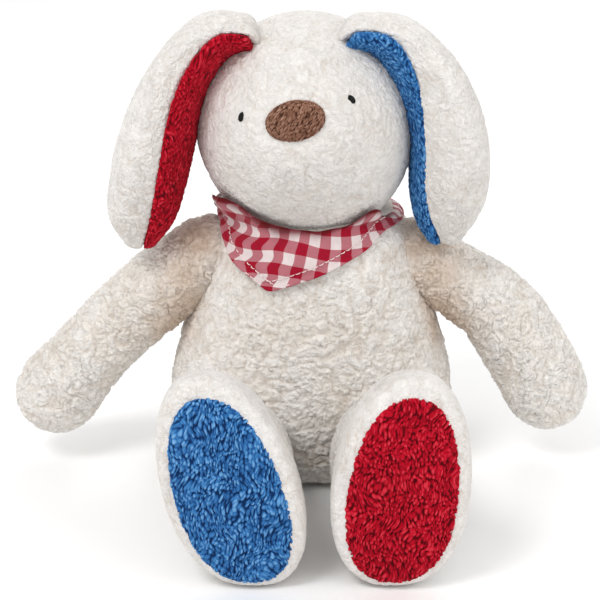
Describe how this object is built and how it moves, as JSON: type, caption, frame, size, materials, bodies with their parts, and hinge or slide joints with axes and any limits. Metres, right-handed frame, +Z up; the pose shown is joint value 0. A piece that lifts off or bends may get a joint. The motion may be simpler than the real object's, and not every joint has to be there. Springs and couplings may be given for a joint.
{
  "type": "plush dog",
  "caption": "Seated stuffed dog in cream sherpa with floppy terry-lined ears, terry soles and a checked neckerchief; head, ears, arms and legs move.",
  "frame": {"origin": "centre of the flat seat, on the surface the dog sits on", "axes": "+Z up, the dog faces -Y and its left side is +X"},
  "size_m": [0.306, 0.258, 0.2508],
  "materials": {
    "sherpa": "curly cream-white sherpa pile",
    "stuffing": "loose polyester fibre",
    "red_terry": "looped red terry",
    "blue_terry": "looped blue terry",
    "brown_embroidery": "satin-stitched brown yarn",
    "black_embroidery": "satin-stitched black thread",
    "gingham": "plain-weave red and white check",
    "thread": "cream sewing thread"
  },
  "bodies": {
    "torso": {"torso_cover": "sherpa", "torso_stuffing": "stuffing", "kerchief": "gingham", "kerchief_knot": "gingham", "tail_cover": "sherpa", "tail_stuffing": "stuffing", "neck_thread": "thread"},
    "head": {"head_cover": "sherpa", "head_stuffing": "stuffing", "nose": "brown_embroidery", "right_eye": "black_embroidery", "left_eye": "black_embroidery"},
    "right_ear": {"right_ear_outer": "sherpa", "right_ear_batting": "stuffing", "right_ear_lining": "red_terry"},
    "left_ear": {"left_ear_outer": "sherpa", "left_ear_batting": "stuffing", "left_ear_lining": "blue_terry"},
    "right_arm": {"right_arm_cover": "sherpa", "right_arm_stuffing": "stuffing", "right_shoulder_thread": "thread"},
    "left_arm": {"left_arm_cover": "sherpa", "left_arm_stuffing": "stuffing", "left_shoulder_thread": "thread"},
    "right_leg": {"right_leg_cover": "sherpa", "right_leg_stuffing": "stuffing", "right_sole": "blue_terry", "right_hip_thread": "thread"},
    "left_leg": {"left_leg_cover": "sherpa", "left_leg_stuffing": "stuffing", "left_sole": "red_terry", "left_hip_thread": "thread"}
  },
  "joints": [
    {"name": "neck_turn", "type": "hinge", "parent": "torso", "child": "head", "pos_m": [-0.002, -0.008, 0.186], "axis": [0, 0, 1], "range_deg": [-45, 45], "stiffness_Nm_per_rad": 0.05},
    {"name": "right_ear_lift", "type": "hinge", "parent": "head", "child": "right_ear", "pos_m": [-0.0355, -0.018, 0.23211], "axis": [0, 1, 0], "range_deg": [0, 80]},
    {"name": "left_ear_lift", "type": "hinge", "parent": "head", "child": "left_ear", "pos_m": [0.02388, -0.018, 0.23679], "axis": [0, -1, 0], "range_deg": [0, 80]},
    {"name": "right_arm_swing", "type": "hinge", "parent": "torso", "child": "right_arm", "pos_m": [-0.06, -0.008, 0.109], "axis": [-1, 0, 0], "range_deg": [-20, 60], "stiffness_Nm_per_rad": 0.02},
    {"name": "left_arm_swing", "type": "hinge", "parent": "torso", "child": "left_arm", "pos_m": [0.06, -0.008, 0.109], "axis": [-1, 0, 0], "range_deg": [-20, 60], "stiffness_Nm_per_rad": 0.02},
    {"name": "right_leg_lift", "type": "hinge", "parent": "torso", "child": "right_leg", "pos_m": [-0.037, -0.06, 0.032], "axis": [-1, 0, 0], "range_deg": [-30, 24], "stiffness_Nm_per_rad": 0.05},
    {"name": "left_leg_lift", "type": "hinge", "parent": "torso", "child": "left_leg", "pos_m": [0.037, -0.06, 0.032], "axis": [-1, 0, 0], "range_deg": [-30, 24], "stiffness_Nm_per_rad": 0.05}
  ]
}
